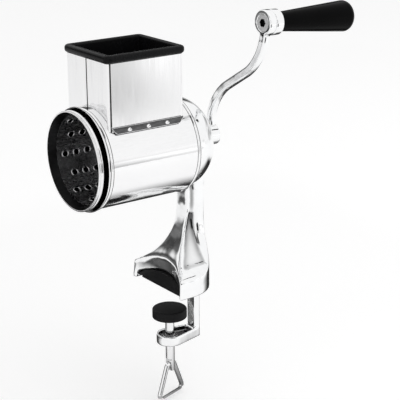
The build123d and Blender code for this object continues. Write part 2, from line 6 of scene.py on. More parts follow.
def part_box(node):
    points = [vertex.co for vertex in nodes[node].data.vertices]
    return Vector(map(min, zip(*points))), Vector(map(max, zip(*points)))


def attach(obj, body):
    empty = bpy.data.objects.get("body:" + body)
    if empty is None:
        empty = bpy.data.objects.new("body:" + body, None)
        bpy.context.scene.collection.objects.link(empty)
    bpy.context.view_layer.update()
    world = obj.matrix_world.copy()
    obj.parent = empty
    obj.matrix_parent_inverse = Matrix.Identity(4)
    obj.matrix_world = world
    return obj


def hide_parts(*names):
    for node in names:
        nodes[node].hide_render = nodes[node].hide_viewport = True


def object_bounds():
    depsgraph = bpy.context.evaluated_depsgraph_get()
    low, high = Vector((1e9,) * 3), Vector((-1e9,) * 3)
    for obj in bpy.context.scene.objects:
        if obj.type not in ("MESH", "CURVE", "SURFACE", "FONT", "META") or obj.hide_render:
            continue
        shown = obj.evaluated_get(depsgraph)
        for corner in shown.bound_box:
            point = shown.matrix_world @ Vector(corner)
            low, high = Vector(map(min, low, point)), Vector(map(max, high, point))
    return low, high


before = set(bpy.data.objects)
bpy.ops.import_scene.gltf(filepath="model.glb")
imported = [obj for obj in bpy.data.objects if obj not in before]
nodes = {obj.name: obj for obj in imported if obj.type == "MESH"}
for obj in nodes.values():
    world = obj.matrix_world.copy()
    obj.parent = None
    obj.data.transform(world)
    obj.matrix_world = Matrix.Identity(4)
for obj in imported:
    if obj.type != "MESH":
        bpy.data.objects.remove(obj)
solid_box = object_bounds()

# Stand: bell, leg, table jaw, post and lower arm are one zinc casting. It is polished by hand and
# chrome plated, so its edges are soft and its faces never quite flat.
mm = 0.001


def choose(piece):
    """Make one piece the only selected and active one."""
    bpy.ops.object.select_all(action="DESELECT")
    piece.select_set(True)
    bpy.context.view_layer.objects.active = piece


def copy_of(node, name):
    """A merged copy of a solid, to be finished further."""
    piece = bpy.data.objects.new(name, nodes[node].data.copy())
    piece.data.name = name
    bpy.context.scene.collection.objects.link(piece)
    choose(piece)
    bpy.ops.mesh.customdata_custom_splitnormals_clear()
    bpy.ops.object.mode_set(mode="EDIT")
    bpy.ops.mesh.select_all(action="SELECT")
    bpy.ops.mesh.remove_doubles(threshold=0.01 * mm)
    bpy.ops.object.mode_set(mode="OBJECT")
    return piece


def apply_modifier(piece, kind, **settings):
    """Add a modifier, set it and apply it."""
    choose(piece)
    modifier = piece.modifiers.new(kind.lower(), kind)
    for name, value in settings.items():
        setattr(modifier, name, value)
    bpy.ops.object.modifier_apply(modifier=modifier.name)


def soften_casting(piece, grain, strokes, where=None):
    """Round a casting's edges and level its faces, as moulding and polishing do, by a share at each place."""
    apply_modifier(piece, "REMESH", mode="VOXEL", voxel_size=grain)
    group = piece.vertex_groups.new(name="softness")
    for vertex in piece.data.vertices:
        group.add([vertex.index], where(vertex.co) if where else 1.0, "REPLACE")
    apply_modifier(piece, "SMOOTH", factor=0.5, iterations=strokes, vertex_group="softness")
    piece.vertex_groups.clear()
    bpy.ops.object.shade_smooth()


def polish_haze():
    """Node group: fine polishing haze, as a roughness between two limits, a mask and a height."""
    group = bpy.data.node_groups.new("polish_haze", "ShaderNodeTree")
    sides = group.interface
    sides.new_socket("Position", in_out="INPUT", socket_type="NodeSocketVector")
    for name in ("Fineness", "Bright", "Dull"):
        sides.new_socket(name, in_out="INPUT", socket_type="NodeSocketFloat")
    for name in ("Roughness", "Mask", "Height", "Swell"):
        sides.new_socket(name, in_out="OUTPUT", socket_type="NodeSocketFloat")
    start = group.nodes.new("NodeGroupInput")
    end = group.nodes.new("NodeGroupOutput")
    fine = group.nodes.new("ShaderNodeTexNoise")
    fine.inputs["Detail"].default_value = 4.0
    broad = group.nodes.new("ShaderNodeTexNoise")
    broad.inputs["Scale"].default_value = 38.0
    broad.inputs["Detail"].default_value = 2.0
    both = group.nodes.new("ShaderNodeMath")
    both.operation = "MULTIPLY"
    spread = group.nodes.new("ShaderNodeMapRange")
    spread.inputs["From Min"].default_value = 0.12
    spread.inputs["From Max"].default_value = 0.42
    limits = group.nodes.new("ShaderNodeMapRange")
    link = group.links.new
    link(start.outputs["Position"], fine.inputs["Vector"])
    link(start.outputs["Position"], broad.inputs["Vector"])
    link(start.outputs["Fineness"], fine.inputs["Scale"])
    link(fine.outputs["Fac"], both.inputs[0])
    link(broad.outputs["Fac"], both.inputs[1])
    link(both.outputs["Value"], spread.inputs["Value"])
    link(spread.outputs["Result"], limits.inputs["Value"])
    link(start.outputs["Bright"], limits.inputs["To Min"])
    link(start.outputs["Dull"], limits.inputs["To Max"])
    link(limits.outputs["Result"], end.inputs["Roughness"])
    link(spread.outputs["Result"], end.inputs["Mask"])
    link(fine.outputs["Fac"], end.inputs["Height"])
    link(broad.outputs["Fac"], end.inputs["Swell"])
    return group


haze = polish_haze()


def finish(name, colours, metallic, roughness, fineness, stretch=(1, 1, 1), relief=0.0, gloss=0.5, swell=0.0):
    """A finish: two close colours, a range of roughness, fine relief and a broad hand-polished swell."""
    material = bpy.data.materials.new(name)
    material.use_nodes = True
    tree = material.node_tree
    shader = tree.nodes["Principled BSDF"]
    shader.inputs["Metallic"].default_value = metallic
    shader.inputs["Specular IOR Level"].default_value = gloss
    place = tree.nodes.new("ShaderNodeTexCoord")
    scale = tree.nodes.new("ShaderNodeMapping")
    scale.inputs["Scale"].default_value = stretch
    worn = tree.nodes.new("ShaderNodeGroup")
    worn.node_tree = haze
    worn.inputs["Fineness"].default_value = fineness
    worn.inputs["Bright"].default_value = roughness[0]
    worn.inputs["Dull"].default_value = roughness[1]
    mix = tree.nodes.new("ShaderNodeMix")
    mix.data_type = "RGBA"
    mix.inputs["A"].default_value = (*colours[0], 1)
    mix.inputs["B"].default_value = (*colours[1], 1)
    bump = tree.nodes.new("ShaderNodeBump")
    bump.inputs["Strength"].default_value = relief
    bump.inputs["Distance"].default_value = 0.1 * mm
    wave = tree.nodes.new("ShaderNodeBump")
    wave.inputs["Strength"].default_value = swell
    wave.inputs["Distance"].default_value = 2 * mm
    link = tree.links.new
    link(place.outputs["Object"], scale.inputs["Vector"])
    link(scale.outputs["Vector"], worn.inputs["Position"])
    link(worn.outputs["Mask"], mix.inputs["Factor"])
    link(mix.outputs["Result"], shader.inputs["Base Color"])
    link(worn.outputs["Roughness"], shader.inputs["Roughness"])
    link(worn.outputs["Height"], bump.inputs["Height"])
    link(worn.outputs["Swell"], wave.inputs["Height"])
    link(wave.outputs["Normal"], bump.inputs["Normal"])
    link(bump.outputs["Normal"], shader.inputs["Normal"])
    return material


def dress(piece, material, body, slot, *replaced):
    """Give a new piece its finish, its body and the nodes it stands for."""
    piece.data.materials.clear()
    piece.data.materials.append(material)
    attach(piece, body)
    if replaced:
        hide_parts(*replaced)


def note_shaded_hollows(piece, strokes, depth, shaded_within=None):
    """Keep on each point its share of painted shade, by its depth below the smoothed surface, fixed where
    shut in.
    """
    within_shade_share = 0.9
    level = piece.copy()
    level.data = piece.data.copy()
    bpy.context.scene.collection.objects.link(level)
    apply_modifier(level, "SMOOTH", factor=0.5, iterations=strokes)
    hollow_shade = piece.data.attributes.new("hollow_shade", "FLOAT", "POINT")
    for vertex, evened in zip(piece.data.vertices, level.data.vertices):
        rise = (evened.co - vertex.co).dot(vertex.normal)
        within_shade = shaded_within and shaded_within(vertex.co, vertex.normal)
        hollow_shade.data[vertex.index].value = within_shade_share if within_shade else min(1, max(0, rise / depth))
    bpy.data.objects.remove(level)


def paint_hollow_shade(material, colour):
    """Paint shade into a finish, by the share of painted shade kept on its piece."""
    tree = material.node_tree
    shader = tree.nodes["Principled BSDF"]
    clean = shader.inputs["Base Color"].links[0].from_socket
    hollow_shade = tree.nodes.new("ShaderNodeAttribute")
    hollow_shade.attribute_name = "hollow_shade"
    mix = tree.nodes.new("ShaderNodeMix")
    mix.data_type = "RGBA"
    mix.inputs["B"].default_value = (*colour, 1)
    tree.links.new(hollow_shade.outputs["Fac"], mix.inputs["Factor"])
    tree.links.new(clean, mix.inputs["A"])
    tree.links.new(mix.outputs["Result"], shader.inputs["Base Color"])


cast_chrome = finish(
    "cast_chrome", [(0.94, 0.945, 0.95), (0.89, 0.895, 0.90)], 1.0, (0.04, 0.12), 260, relief=0.05, swell=0.7
)
# Painted shade: the chrome turns dark grey in the casting's hollows and inside the tray, where shade falls.
paint_hollow_shade(cast_chrome, (0.10, 0.10, 0.102))
stand = copy_of("stand_casting", "stand_cast")


def leg_share(place):
    """Full softness on the leg and jaw, a little on the bell, the post and the tray's thin walls."""
    jaw_foot, foot_blend = 4 * mm, 8 * mm
    leg_top, top_blend = 92 * mm, 10 * mm
    thin_walls = 0.10
    above = min(1, max(0, (place.z - jaw_foot) / foot_blend))
    below = min(1, max(0, (leg_top - place.z) / top_blend))
    return max(thin_walls, above * below)


def in_tray(place, normal):
    """Whether a point is on the inside of the lower arm's tray."""
    tray_middle = 6 * mm
    tray_floor, tray_rim = -47.5 * mm, -42.2 * mm
    inwards = Vector((tray_middle, 0, place.z)) - place
    return tray_floor < place.z < tray_rim and (normal.z > 0.7 or normal.dot(inwards.normalized()) > 0.3)


stand_grain = 0.8 * mm
shaded_hollow_depth = 0.35 * mm
soften_casting(stand, stand_grain, 70, leg_share)
# Painted shade share: by depth in the casting's hollows, and a fixed deep share inside the tray.
note_shaded_hollows(stand, 60, shaded_hollow_depth, in_tray)
dress(stand, cast_chrome, "stand", "cast_chrome", "stand_casting")

# Jaw pad: a black rubber block in the jaw's arched underside, which keeps the casting off the table.
# It keeps the solid's shape; the rubber is matt with a fine moulded grain.
rubber_blacks = [(0.006, 0.006, 0.0065), (0.012, 0.012, 0.0125)]
rubber = finish("black_rubber", rubber_blacks, 0.0, (0.42, 0.58), 900, relief=0.25, gloss=0.12)


def coat(material, *names):
    """Give solids that keep their own shape a finish."""
    for name in names:
        mesh = nodes[name].data
        mesh.materials.clear()
        mesh.materials.append(material)


coat(rubber, "jaw_pad")

# Shaft bush and thrust washer: plain bearing bronze, turned on a lathe. The bush is pressed into the
# bell's hub, and the washer lies loose between the hub and the crank.
bronzes = [(0.60, 0.44, 0.24), (0.50, 0.36, 0.19)]
bronze = finish("bush_bronze", bronzes, 1.0, (0.22, 0.36), 320, (1, 6, 6), 0.1)
coat(bronze, "shaft_bush", "thrust_washer")

# Barrel: a rolled and welded tube of mirror-polished stainless sheet, with a flared front lip, a bead
# behind it and one at the rear, and a rear edge turned in against the bell.
axis_z = 122.6 * mm
barrel_radius = 39.4 * mm
barrel_wall = 0.9 * mm
barrel_low, barrel_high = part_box("barrel_shell")
barrel_front = barrel_low.x
barrel_rear = barrel_high.x
bead_width = 2.2 * mm
front_bead = barrel_front + 2.6 * mm
rear_bead = barrel_rear - 3.2 * mm
crease = 0.4 * mm
on_drum_axis = Matrix.Translation((0, 0, axis_z))


def rounded_outline(corners, steps=6):
    """The points of a closed outline whose corners, given as place, radius and rounding, are arcs."""
    points = []
    for index, (along, out, rounding) in enumerate(corners):
        corner = Vector((along, out))
        before = Vector(corners[index - 1][:2]) - corner
        after = Vector(corners[(index + 1) % len(corners)][:2]) - corner
        if rounding == 0:
            points.append(corner)
            continue
        half = before.angle(after) / 2
        reach = rounding / math.tan(half)
        first = corner + before.normalized() * reach
        last = corner + after.normalized() * reach
        centre = corner + (before.normalized() + after.normalized()).normalized() * rounding / math.sin(half)
        for step in range(steps + 1):
            point = first.lerp(last, step / steps) - centre
            points.append(centre + point.normalized() * rounding)
    return points


def turned(name, outline, place, steps=144):
    """A closed outline of place and radius, spun round the X axis and then put in place."""
    bpy.ops.object.select_all(action="DESELECT")
    bpy.ops.mesh.primitive_circle_add(vertices=len(outline), fill_type="NOTHING")
    piece = bpy.context.object
    piece.name = piece.data.name = name
    for vertex, (along, out) in zip(piece.data.vertices, outline):
        vertex.co = (along, 0, out)
    bpy.ops.object.mode_set(mode="EDIT")
    bpy.ops.mesh.select_all(action="SELECT")
    bpy.ops.mesh.spin(steps=steps, angle=math.tau, center=(0, 0, 0), axis=(1, 0, 0))
    bpy.ops.mesh.select_all(action="SELECT")
    bpy.ops.mesh.remove_doubles(threshold=0.002 * mm)
    bpy.ops.mesh.normals_make_consistent(inside=False)
    bpy.ops.object.mode_set(mode="OBJECT")
    piece.data.transform(place)
    bpy.ops.object.shade_smooth_by_angle(angle=math.radians(35))
    return piece


def pick(piece, kind, test):
    """Select the edges or faces of a piece that pass a test, and stay in edit mode."""
    choose(piece)
    bpy.ops.object.mode_set(mode="EDIT")
    bpy.ops.mesh.select_mode(type=kind)
    bpy.ops.mesh.select_all(action="DESELECT")
    bpy.ops.object.mode_set(mode="OBJECT")
    for part in piece.data.edges if kind == "EDGE" else piece.data.polygons:
        part.select = test(part)
    bpy.ops.object.mode_set(mode="EDIT")


def rounded_box(name, low, high, corner, steps=8):
    """A box with rounded upright edges."""
    bpy.ops.object.select_all(action="DESELECT")
    middle = (Vector(low) + Vector(high)) / 2
    bpy.ops.mesh.primitive_cube_add(size=1, location=middle, scale=Vector(high) - Vector(low))
    piece = bpy.context.object
    piece.name = piece.data.name = name
    bpy.ops.object.transform_apply(location=True, rotation=True, scale=True)
    heights = [vertex.co.z for vertex in piece.data.vertices]
    pick(piece, "EDGE", lambda edge: heights[edge.vertices[0]] != heights[edge.vertices[1]])
    bpy.ops.mesh.bevel(offset=corner, segments=steps, affect="EDGES")
    bpy.ops.object.mode_set(mode="OBJECT")
    return piece


def cut_away(piece, tool):
    """Cut a tool's shape out of a piece and throw the tool away."""
    apply_modifier(piece, "BOOLEAN", operation="DIFFERENCE", object=tool, solver="EXACT")
    bpy.data.objects.remove(tool)


def barrel_outline():
    """The sheet's cross-section from the lip to the turned-in rear edge, inside and out."""
    bead = 0.7 * mm
    ramp = 0.6 * mm
    lip = 1.9 * mm
    inside = barrel_radius - barrel_wall
    lip_length = 2.2 * mm
    turn_in = barrel_radius - 8 * mm
    corners = [(barrel_front, barrel_radius + lip, 0.4 * mm)]
    for start, bend in ((front_bead, 0.3 * mm), (rear_bead, 0)):
        end = start + bead_width
        corners += [(start - crease, barrel_radius, bend), (start, barrel_radius, 0.15 * mm)]
        corners += [(place, barrel_radius + bead, 0.4 * mm) for place in (start + ramp, end - ramp)]
        corners += [(end, barrel_radius, 0.15 * mm), (end + crease, barrel_radius, 0)]
    corners += [(barrel_rear, barrel_radius, 0.5 * mm), (barrel_rear, turn_in, 0)]
    corners += [(barrel_rear - barrel_wall, turn_in, 0), (barrel_rear - barrel_wall, inside, 0.3 * mm)]
    corners += [(barrel_front + lip_length, inside, 0.4 * mm), (barrel_front, inside + lip, 0.3 * mm)]
    return rounded_outline(corners, 4)


mirror_steel = finish(
    "mirror_steel", [(0.93, 0.93, 0.935), (0.88, 0.88, 0.885)], 1.0, (0.05, 0.14), 520, (0.35, 1.6, 1.6), 0.05
)
hopper_low, hopper_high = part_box("hopper_chute")
hopper_wall = 0.9 * mm
hopper_half = 29.75 * mm
hopper_corner = 3.0 * mm
barrel = turned("barrel", barrel_outline(), on_drum_axis, 192)
opening = rounded_box(
    "opening",
    (hopper_low.x + hopper_wall, -hopper_half + hopper_wall, axis_z),
    (hopper_high.x - hopper_wall, hopper_half - hopper_wall, hopper_high.z),
    hopper_corner - hopper_wall,
)
cut_away(barrel, opening)
choose(barrel)
bpy.ops.object.shade_smooth_by_angle(angle=math.radians(35))
dress(barrel, mirror_steel, "stand", "polished_steel", "barrel_shell")
# Painted shade: a near-black steel finish for narrow creases, seams and sockets, where shade falls.
crease_shade_greys = [(0.05, 0.05, 0.051), (0.025, 0.025, 0.026)]
crease_shade = finish("painted_crease_shade", crease_shade_greys, 1.0, (0.20, 0.36), 420, relief=0.1)
# Painted shade: the barrel's inner wall is the same steel, painted dark as the shade inside the tube.
inside_shade_greys = [(0.06, 0.06, 0.061), (0.035, 0.035, 0.036)]
barrel_inside_shade = finish("barrel_inside_shade", inside_shade_greys, 1.0, (0.24, 0.40), 420, (0.3, 1.4, 1.4), 0.1)
barrel.data.materials.append(barrel_inside_shade)
barrel.data.materials.append(crease_shade)
# Faces on the tube's inner wall get the painted inside shade, and those in the creases at each bead's feet
# get the painted crease shade.
crease_reach = barrel_radius + 0.2 * mm
for face in barrel.data.polygons:
    out = Vector((0, face.center.y, face.center.z - axis_z))
    if out.length < barrel_radius - barrel_wall / 2:
        face.material_index = 1
    for foot in (front_bead, front_bead + bead_width, rear_bead, rear_bead + bead_width):
        if abs(face.center.x - foot) < crease and out.length < crease_reach:
            face.material_index = 2 if face.material_index == 0 else 1

# Rivets: plain steel, left as they are headed. Four inside the barrel hold its turned-in edge to the
# bell, and four hold the hub to the drum's rear disc.
rivet_greys = [(0.66, 0.66, 0.67), (0.58, 0.58, 0.59)]
rivet_steel = finish("rivet_steel", rivet_greys, 1.0, (0.22, 0.38), 420, relief=0.1)
coat(rivet_steel, "barrel_rivets", "hub_rivets")

# Hopper: a folded box of the same sheet, closed by an upright seam on its front face and scribed to
# the barrel. Its top edge is under the pusher's rim.
sheet_steel = finish(
    "hopper_sheet", [(0.92, 0.92, 0.925), (0.85, 0.85, 0.855)], 1.0, (0.10, 0.20), 420, (2.2, 2.2, 0.12), 0.07
)
hopper = rounded_box(
    "hopper",
    (hopper_low.x, -hopper_half, axis_z),
    (hopper_high.x, hopper_half, hopper_high.z),
    hopper_corner,
    10,
)
pick(hopper, "FACE", lambda face: abs(face.normal.z) > 0.9)
bpy.ops.mesh.delete(type="FACE")
bpy.ops.object.mode_set(mode="OBJECT")
apply_modifier(hopper, "SOLIDIFY", thickness=hopper_wall, offset=-1)
bpy.ops.object.select_all(action="DESELECT")
bpy.ops.mesh.primitive_cylinder_add(
    vertices=256,
    radius=barrel_radius,
    depth=2 * (barrel_rear - barrel_front),
    rotation=(0, math.pi / 2, 0),
    location=((barrel_front + barrel_rear) / 2, 0, axis_z),
)
cut_away(hopper, bpy.context.object)
seam_half = 0.7 * mm
seam_depth = 0.6 * mm
bpy.ops.object.select_all(action="DESELECT")
bpy.ops.mesh.primitive_cube_add(
    size=1,
    location=(hopper_low.x, 0, hopper_high.z),
    scale=(2 * seam_depth, 2 * seam_half, 2 * hopper_high.z - 2 * axis_z),
)
cut_away(hopper, bpy.context.object)
choose(hopper)
bpy.ops.object.shade_smooth_by_angle(angle=math.radians(30))
dress(hopper, sheet_steel, "stand", "polished_steel", "hopper_chute")
hopper.data.materials.append(crease_shade)
# The upright seam's groove gets the painted crease shade.
for face in hopper.data.polygons:
    depth = face.center.x - hopper_low.x
    in_seam = 0.05 * mm < depth < seam_depth + 0.1 * mm and abs(face.center.y) < 1.2 * seam_half
    face.material_index = int(in_seam)

# Side strips: the hopper's foot is bent out into two strips that come down on the barrel. Each is
# spot welded in three places, and the strips are a little rougher than the polished faces. Their steel is
# painted dark, a painted reflection of the dark surroundings their slope faces; the weld dishes keep a bright
# steel colour.
strip_rise = 3.6 * mm
strip_reach = 2.4 * mm
strip_proud = 0.25 * mm
strip_chamfer = 4.0 * mm
weld_spacing = 17.0 * mm
weld_radius = 2.5 * mm
weld_depth = 0.5 * mm
# Painted reflection: the strips' steel is dark grey, and the weld spots keep a bright steel colour.
strip_reflection_dark = finish(
    "strip_painted_reflection", [(0.15, 0.15, 0.153), (0.07, 0.07, 0.072)], 1.0, (0.16, 0.30), 380, (0.4, 2, 2), 0.15
)
weld_steel = finish("weld_spot", [(0.92, 0.92, 0.93), (0.86, 0.86, 0.87)], 1.0, (0.18, 0.30), 600, relief=0.1)


def side_strip(name, side):
    """One strip: a fine grid bent from the hopper's wall onto the barrel, with dished welds."""
    along, across = 160, 16
    weld_row = 0.55
    middle = (hopper_low.x + hopper_high.x) / 2
    half = (hopper_high.x - hopper_low.x) / 2 - 0.6 * hopper_corner
    lean = math.asin(hopper_half / barrel_radius)
    foot = Vector((hopper_half, barrel_radius * math.cos(lean)))
    top = foot + Vector((0, strip_rise))
    end = foot + Vector((math.cos(lean), -math.sin(lean))) * strip_reach
    bpy.ops.object.select_all(action="DESELECT")
    bpy.ops.mesh.primitive_grid_add(x_subdivisions=along, y_subdivisions=across, size=1)
    piece = bpy.context.object
    piece.name = piece.data.name = name
    spots = []
    for vertex in piece.data.vertices:
        share = vertex.co.y + 0.5
        place = 2 * vertex.co.x * (half - strip_chamfer * share)
        bent = top * (1 - share) ** 2 + foot * (2 * share * (1 - share)) + end * share ** 2
        slope = (foot - top) * (1 - share) + (end - foot) * share
        out = Vector((-slope.y, slope.x)).normalized()
        nearest = weld_spacing * max(-1, min(1, round(place / weld_spacing)))
        distance = math.hypot(place - nearest, (share - weld_row) * (strip_rise + strip_reach))
        dish = weld_depth * 0.5 * (1 + math.cos(math.pi * min(1, distance / weld_radius)))
        spots.append(distance < 0.9 * weld_radius)
        bent += out * (strip_proud + hopper_wall / 2 - dish)
        vertex.co = (middle + place, side * bent.x, axis_z + bent.y)
    dress(piece, strip_reflection_dark, "stand", "polished_steel")
    piece.data.materials.append(weld_steel)
    for face in piece.data.polygons:
        face.material_index = int(all(spots[index] for index in face.vertices))
    choose(piece)
    bpy.ops.object.mode_set(mode="EDIT")
    bpy.ops.mesh.select_all(action="SELECT")
    if side > 0:
        bpy.ops.mesh.flip_normals()
    bpy.ops.object.mode_set(mode="OBJECT")
    apply_modifier(piece, "SOLIDIFY", thickness=hopper_wall, offset=-1, material_offset_rim=1)
    bpy.ops.object.shade_smooth_by_angle(angle=math.radians(40))


side_strip("strip_near", -1)
side_strip("strip_far", 1)

# Pusher: a hollow box of satin black plastic that slides in the hopper and hangs by its rounded rim.
# It is one moulding, open at the top for the fingers.
pusher_low, pusher_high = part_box("hopper_pusher")
rim_height = 6.0 * mm
rim_round = 2.4 * mm
rim_corner = 5.0 * mm
pusher_gap = 0.5 * mm
pusher_wall = 2.0 * mm
lip_round = 1.6 * mm
body_corner = 1.6 * mm
inner_corner = 1.2 * mm
satin_blacks = [(0.004, 0.004, 0.0045), (0.008, 0.008, 0.0085)]
satin_plastic = finish("satin_plastic", satin_blacks, 0.0, (0.22, 0.34), 700, relief=0.12, gloss=0.10)


def rounded_ring(length, width, corner, z, steps=8):
    """The points of a rounded rectangle round the hopper's middle."""
    middle = (pusher_low.x + pusher_high.x) / 2
    points = []
    for quarter in range(4):
        turn = quarter * math.pi / 2
        side_x = 1 if quarter in (0, 3) else -1
        side_y = 1 if quarter in (0, 1) else -1
        for step in range(steps + 1):
            angle = turn + step / steps * math.pi / 2
            x = middle + side_x * (length / 2 - corner) + corner * math.cos(angle)
            y = side_y * (width / 2 - corner) + corner * math.sin(angle)
            points.append((x, y, z))
    return points


def skinned(name, rings):
    """A skin over closed rings of points, with both ends filled."""
    around = len(rings[0])
    up = len(rings) - 1
    bpy.ops.object.select_all(action="DESELECT")
    bpy.ops.mesh.primitive_grid_add(x_subdivisions=around, y_subdivisions=up, size=1)
    piece = bpy.context.object
    piece.name = piece.data.name = name
    for vertex in piece.data.vertices:
        ring = round((vertex.co.y + 0.5) * up)
        point = round((vertex.co.x + 0.5) * around) % around
        vertex.co = rings[ring][point]
    bpy.ops.object.mode_set(mode="EDIT")
    bpy.ops.mesh.select_all(action="SELECT")
    bpy.ops.mesh.remove_doubles(threshold=0.001 * mm)
    bpy.ops.mesh.select_all(action="DESELECT")
    bpy.ops.mesh.select_mode(type="EDGE")
    bpy.ops.mesh.select_non_manifold()
    bpy.ops.mesh.fill_holes(sides=0)
    bpy.ops.mesh.select_all(action="SELECT")
    bpy.ops.mesh.normals_make_consistent(inside=False)
    bpy.ops.object.mode_set(mode="OBJECT")
    bpy.ops.object.shade_smooth_by_angle(angle=math.radians(40))
    return piece


def pusher_rings():
    """Rings from the floor up the outside, round the rim and down the inside."""
    rim_length = pusher_high.x - pusher_low.x
    rim_width = pusher_high.y - pusher_low.y
    body_length = hopper_high.x - hopper_low.x - 2 * (hopper_wall + pusher_gap)
    body_width = 2 * (hopper_half - hopper_wall - pusher_gap)
    rim_bottom = pusher_high.z - rim_height
    rings = [rounded_ring(body_length, body_width, body_corner, z) for z in (pusher_low.z, rim_bottom)]
    for low, high in ((rim_bottom, False), (pusher_high.z, True)):
        for step in range(7):
            angle = step / 6 * math.pi / 2
            turn = math.pi / 2 - angle if not high else angle
            inset = rim_round * (1 - math.cos(turn))
            lift = rim_round * (1 - math.sin(turn))
            z = low + lift if not high else low - rim_round + rim_round * math.sin(turn)
            rings.append(rounded_ring(rim_length - 2 * inset, rim_width - 2 * inset, rim_corner - inset, z))
    inner_length = body_length - 2 * pusher_wall
    inner_width = body_width - 2 * pusher_wall
    for step in range(6):
        angle = step / 5 * math.pi / 2
        inset = lip_round * (1 - math.sin(angle))
        z = pusher_high.z - lip_round * (1 - math.cos(angle))
        rings.append(rounded_ring(inner_length + 2 * inset, inner_width + 2 * inset, inner_corner + inset, z))
    rings.append(rounded_ring(inner_length, inner_width, inner_corner, pusher_low.z + pusher_wall))
    return rings


pusher = skinned("pusher", pusher_rings())
dress(pusher, satin_plastic, "pusher", "black_plastic", "hopper_pusher")

# Drum: a cup of bright stainless sheet. Its front is rolled into a stiff hem, its wall is punched
# outwards with staggered holes, and a disc with a riveted hub closes the rear.
drum_low, drum_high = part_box("drum_shell")
hem_radius = drum_high.y
hem_length = 4.9 * mm
hem_wall = 1.5 * mm
neck_length = 1.6 * mm
neck_tail = 2 * mm
drum_radius = 35.5 * mm
drum_wall = 0.8 * mm
drum_steel = finish(
    "drum_steel", [(0.88, 0.88, 0.885), (0.80, 0.80, 0.805)], 1.0, (0.06, 0.16), 420, (0.3, 1.4, 1.4), 0.06
)
# Painted shade: the drum's inner wall is the same steel, painted darker as the shade inside the cup, and the
# mouth and the hem's inside are painted near black.
drum_inside_shade = finish(
    "drum_inside_shade", [(0.62, 0.62, 0.625), (0.46, 0.46, 0.465)], 1.0, (0.16, 0.32), 420, (0.3, 1.4, 1.4), 0.1
)
mouth_shade_blacks = [(0.012, 0.012, 0.0125), (0.008, 0.008, 0.0083)]
drum_mouth_shade = finish("drum_mouth_shade", mouth_shade_blacks, 1.0, (0.24, 0.40), 420, (0.3, 1.4, 1.4), 0.1)


def hem_outline():
    """The hem's cross-section: a thin rim, a groove and a roll outside, a flared mouth and the neck."""
    front = drum_low.x
    rear = front + hem_length
    neck = rear + neck_length
    inside = drum_radius - drum_wall
    corners = [
        (front, hem_radius - hem_wall, 0.5 * mm),
        (front, hem_radius - 0.1 * mm, 0.5 * mm),
        (front + 1.0 * mm, hem_radius - 0.1 * mm, 0.4 * mm),
        (front + 2.0 * mm, hem_radius - 0.8 * mm, 0.8 * mm),
        (front + 3.3 * mm, hem_radius, 1.0 * mm),
        (rear, hem_radius - 0.9 * mm, 0.8 * mm),
        (rear, drum_radius + 0.8 * mm, 0.3 * mm),
        (neck, drum_radius, 0.4 * mm),
        (neck + neck_tail, drum_radius, 0),
        (neck + neck_tail, inside, 0),
        (neck, inside, 2 * mm),
    ]
    return rounded_outline(corners, 5)


hem = turned("drum_hem", hem_outline(), on_drum_axis, 192)
drum = copy_of("drum_shell", "drum")
bpy.ops.object.mode_set(mode="EDIT")
bpy.ops.mesh.select_all(action="SELECT")
bpy.ops.mesh.bisect(
    plane_co=(drum_low.x + hem_length + neck_length + neck_tail, 0, 0), plane_no=(1, 0, 0), clear_inner=True
)
bpy.ops.object.mode_set(mode="OBJECT")
bpy.ops.object.shade_smooth_by_angle(angle=math.radians(30))
choose(drum)
hem.select_set(True)
bpy.ops.object.join()
dress(drum, drum_steel, "crank", "drum_steel", "drum_shell")
drum.data.materials.append(drum_inside_shade)
drum.data.materials.append(drum_mouth_shade)
# Inward faces at the mouth get the near-black painted shade and the rest of the inner wall the darker painted
# inside shade; behind the hem, the outer wall inside the barrel gets the near-black painted shade and the
# other faces the inside shade.
for face in drum.data.polygons:
    out = Vector((0, face.center.y, face.center.z - axis_z))
    at_mouth = face.center.x < drum_low.x + hem_length + neck_length
    if face.normal.dot(out.normalized()) < -0.3:
        face.material_index = 2 if at_mouth else 1
    elif face.center.x > drum_low.x + hem_length - 0.2 * mm:
        face.material_index = 2 if out.length > drum_radius - 0.1 * mm else 1
coat(drum_steel, "drum_end_disc", "drum_hub")

# Hole edges: punching outwards draws the sheet in round each hole, which leaves a bright rounded edge
# on the drum's inside. They follow the holes: staggered rows along the drum, spaced evenly round it.
hole_rows = 14
hole_pitch = 10.0 * mm
hole_radius = 2.3 * mm
first_hole = drum_low.x + 14.0 * mm
last_hole = drum_high.x - 5.0 * mm
hole_phase = math.radians(-6.5)
edge_round = 0.45 * mm
edge_sunk = 0.15 * mm
hole_edges = []
for row in range(hole_rows):
    turn = hole_phase + row * math.tau / hole_rows - math.pi / 2
    start = first_hole + hole_pitch / 2 * (row % 2)
    for column in range(int((last_hole - start) / hole_pitch) + 1):
        bpy.ops.object.select_all(action="DESELECT")
        bpy.ops.mesh.primitive_torus_add(
            major_radius=hole_radius + edge_round,
            minor_radius=edge_round,
            major_segments=20,
            minor_segments=6,
        )
        edge = bpy.context.object
        edge.data.transform(
            Matrix.Translation((start + column * hole_pitch, 0, axis_z))
            @ Matrix.Rotation(turn, 4, "X")
            @ Matrix.Translation((0, 0, drum_radius - drum_wall + edge_sunk))
        )
        hole_edges.append(edge)
bpy.ops.object.select_all(action="DESELECT")
for edge in hole_edges:
    edge.select_set(True)
bpy.context.view_layer.objects.active = hole_edges[0]
bpy.ops.object.join()
punched = hole_edges[0]
punched.name = punched.data.name = "hole_edges"
bpy.ops.object.shade_smooth()
dress(punched, drum_steel, "crank", "drum_steel")

